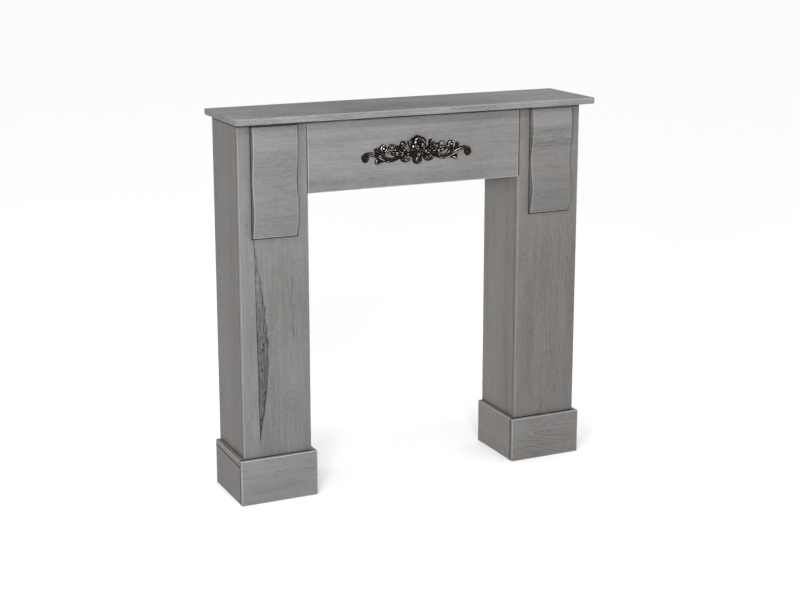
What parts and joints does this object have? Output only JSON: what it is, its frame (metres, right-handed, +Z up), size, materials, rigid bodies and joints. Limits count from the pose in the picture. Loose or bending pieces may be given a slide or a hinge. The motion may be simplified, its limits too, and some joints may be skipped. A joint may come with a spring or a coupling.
{
  "type": "fireplace mantel surround",
  "caption": "Free-standing fireplace mantel surround in washed boards: top shelf, boxed legs with plinths, waved corbels, and a frieze with a cast scroll onlay.",
  "frame": {"origin": "on the floor, under the middle of the top shelf", "axes": "+Z up, +X to the right as one faces the mantel, -Y out of its decorated front, +Y towards the wall"},
  "size_m": [1, 0.236, 0.99],
  "materials": {
    "washed_wood": "grey wash, satin matt, open fine grain",
    "bare_wood": "unfinished sawn softwood",
    "cast_onlay": "cast resin in glossy dark brown",
    "screw_steel": "zinc plated"
  },
  "bodies": {
    "root": {"batten_screw_left": "screw_steel", "batten_screw_middle": "screw_steel", "batten_screw_right": "screw_steel", "carved_onlay": "cast_onlay", "frieze_board": "washed_wood", "left_back_stretcher": "bare_wood", "left_bottom_block": "bare_wood", "left_cleat_screw_1": "screw_steel", "left_cleat_screw_2": "screw_steel", "left_corbel": "washed_wood", "left_corbel_screw_1": "screw_steel", "left_corbel_screw_2": "screw_steel", "left_frieze_cleat": "bare_wood", "left_leg_front": "washed_wood", "left_leg_inner_side": "washed_wood", "left_leg_outer_side": "washed_wood", "left_plinth_front": "washed_wood", "left_plinth_inner": "washed_wood", "left_plinth_outer": "washed_wood", "left_rail_screw_1": "screw_steel", "left_rail_screw_2": "screw_steel", "left_shelf_screw_1": "screw_steel", "left_shelf_screw_2": "screw_steel", "left_top_block": "bare_wood", "onlay_screw_left": "screw_steel", "onlay_screw_right": "screw_steel", "rear_rail": "bare_wood", "right_back_stretcher": "bare_wood", "right_bottom_block": "bare_wood", "right_cleat_screw_1": "screw_steel", "right_cleat_screw_2": "screw_steel", "right_corbel": "washed_wood", "right_corbel_screw_1": "screw_steel", "right_corbel_screw_2": "screw_steel", "right_frieze_cleat": "bare_wood", "right_leg_front": "washed_wood", "right_leg_inner_side": "washed_wood", "right_leg_outer_side": "washed_wood", "right_plinth_front": "washed_wood", "right_plinth_inner": "washed_wood", "right_plinth_outer": "washed_wood", "right_rail_screw_1": "screw_steel", "right_rail_screw_2": "screw_steel", "right_shelf_screw_1": "screw_steel", "right_shelf_screw_2": "screw_steel", "right_top_block": "bare_wood", "shelf_batten": "bare_wood", "shelf_board": "washed_wood"}
  },
  "joints": []
}
